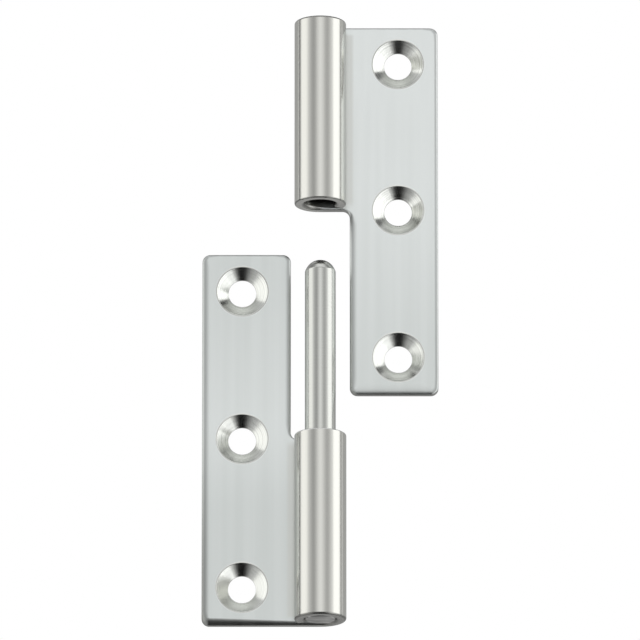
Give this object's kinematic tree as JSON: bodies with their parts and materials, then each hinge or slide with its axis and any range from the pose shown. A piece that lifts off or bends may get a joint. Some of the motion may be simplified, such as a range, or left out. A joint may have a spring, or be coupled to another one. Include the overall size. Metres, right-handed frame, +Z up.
{
  "type": "lift-off hinge",
  "caption": "Lift-off hinge in rolled sheet steel: the upper leaf's knuckle lifts off a round-tipped pin in the lower knuckle; flat leaves with countersunk screw holes.",
  "frame": {"origin": "on the pin's axis, midway between the upper leaf's top and the lower leaf's bottom, at the middle of the knuckles' thickness", "axes": "+Z up along the pin, the way the upper leaf lifts off; +X from the pin towards the upper leaf's outer edge; +Y out of the leaves' flat backs, into the door or frame they are screwed to; the countersinks open towards -Y"},
  "size_m": [0.046, 0.01, 0.1216],
  "materials": {
    "leaf_steel": "stainless steel sheet, plates finely brushed along the pin, knuckles polished satin, countersinks turned bright",
    "pin_steel": "stainless steel bar, ground and polished satin"
  },
  "bodies": {
    "upper_leaf": {"upper_leaf": "leaf_steel"},
    "hinge_pin": {"hinge_pin": "pin_steel"},
    "lower_leaf": {"lower_leaf": "leaf_steel"}
  },
  "joints": [
    {"name": "lift_off", "type": "slide", "parent": "upper_leaf", "child": "hinge_pin", "axis": [0, 0, 1], "range_m": [0, 0.0466]},
    {"name": "swing", "type": "hinge", "parent": "hinge_pin", "child": "lower_leaf", "pos_m": [0, 0, 0], "axis": [0, 0, 1], "range_deg": [-80, 180]}
  ]
}
